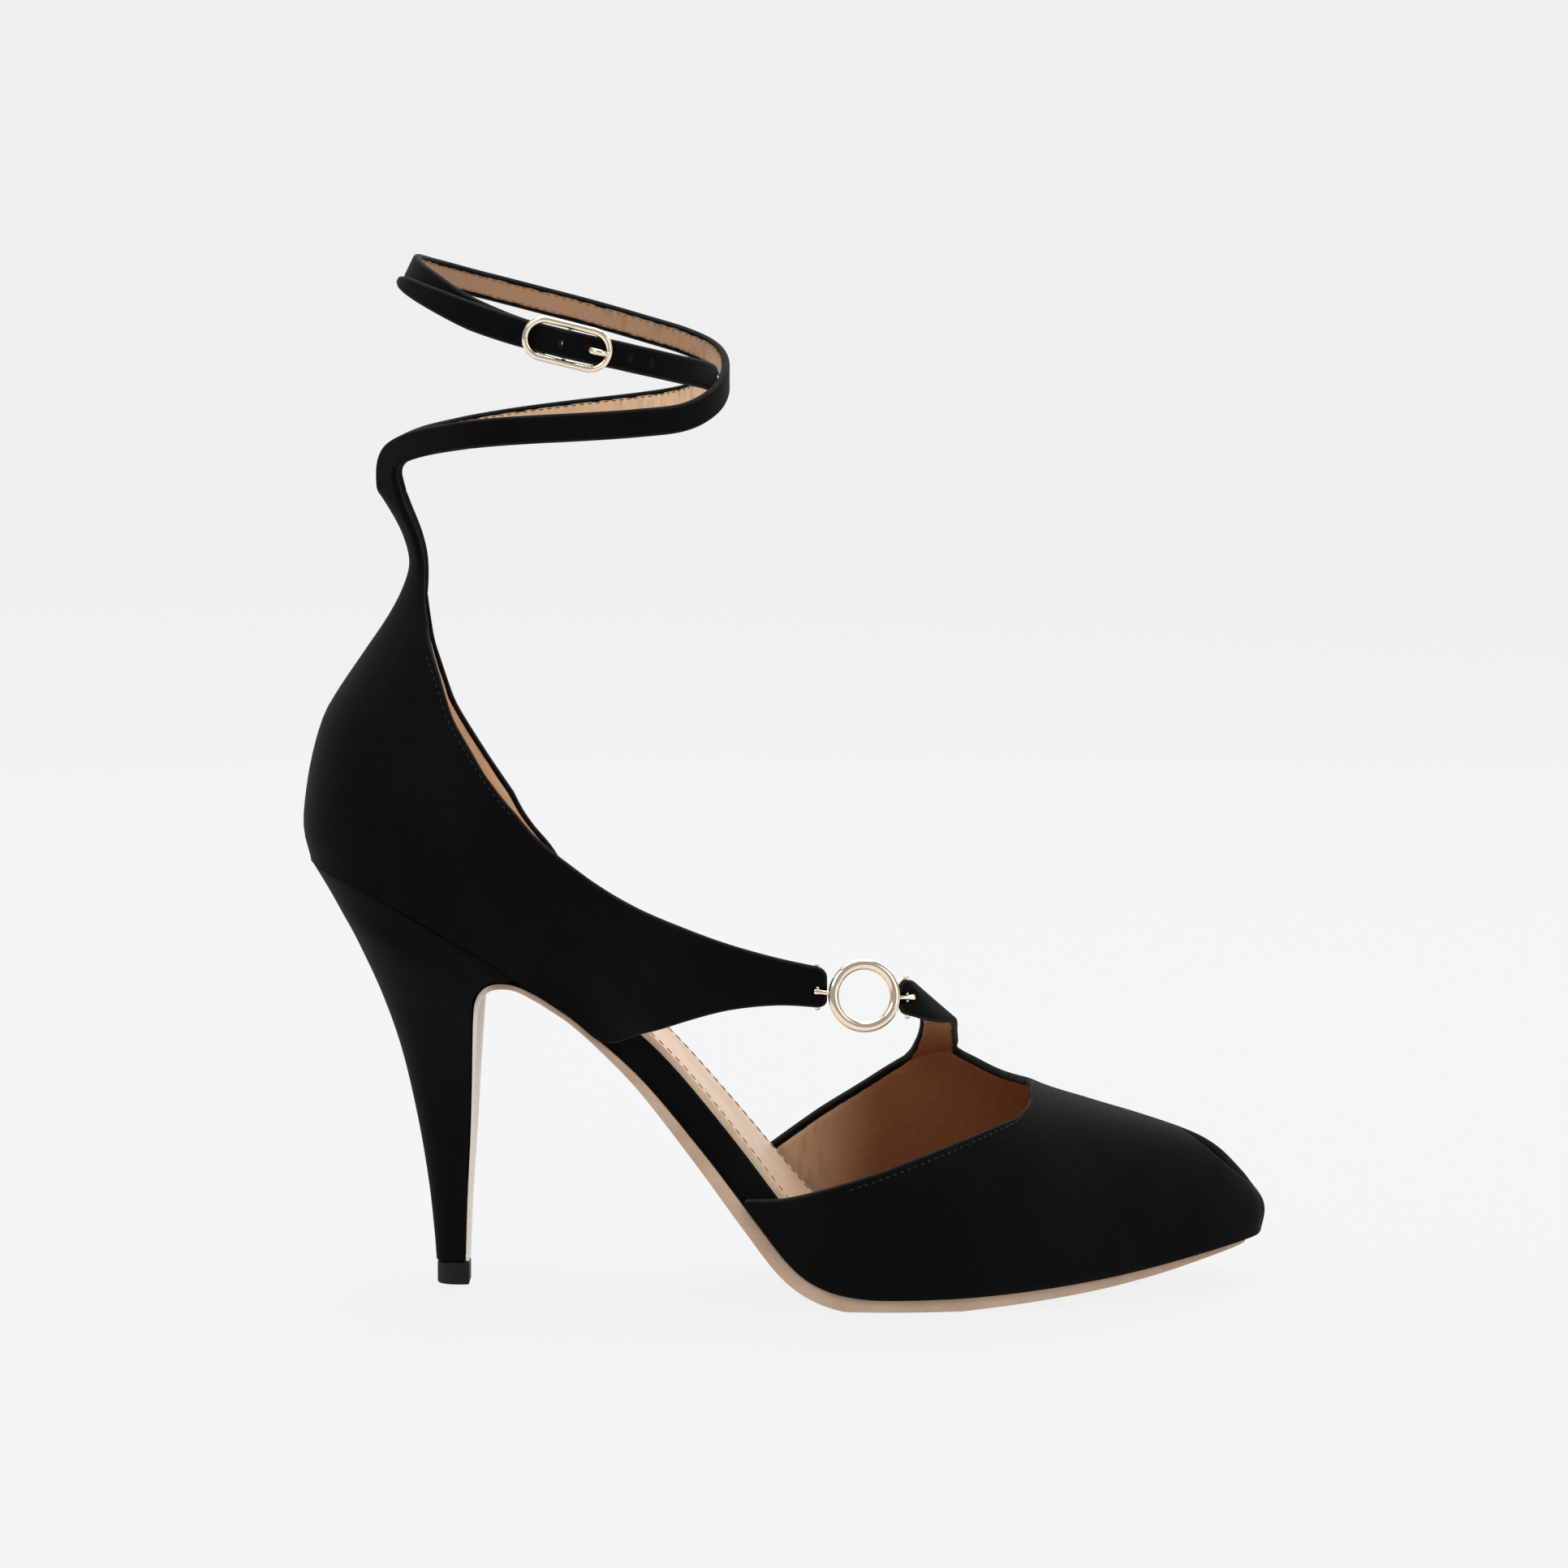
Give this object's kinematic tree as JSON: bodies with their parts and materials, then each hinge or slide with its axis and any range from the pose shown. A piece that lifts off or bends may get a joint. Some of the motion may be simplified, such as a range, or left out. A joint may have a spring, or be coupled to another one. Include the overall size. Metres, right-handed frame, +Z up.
{
  "type": "high-heeled pump",
  "caption": "Right-foot suede pump with a slim high heel, hidden platform, hollow open-toe front, side ring, and a crossed ankle strap with a buckle.",
  "frame": {"origin": "middle of the outline on the floor plane", "axes": "+X to the toe, +Y to the inner side of the foot, +Z up"},
  "size_m": [0.2088, 0.074, 0.2233],
  "materials": {
    "black_suede": "matt nap",
    "tan_leather": "smooth, satin",
    "sole_leather": "waxed, satin",
    "black_rubber": "matt",
    "pale_gold": "polished"
  },
  "bodies": {
    "root": {"outsole": "sole_leather", "platform": "black_suede", "insole": "tan_leather", "heel": "black_suede", "top_piece": "black_rubber", "vamp": "black_suede", "quarter": "black_suede", "ankle_strap_outer": "black_suede", "ankle_strap_inner": "black_suede", "ring": "pale_gold", "buckle": "pale_gold", "buckle_prong": "pale_gold"}
  },
  "joints": []
}
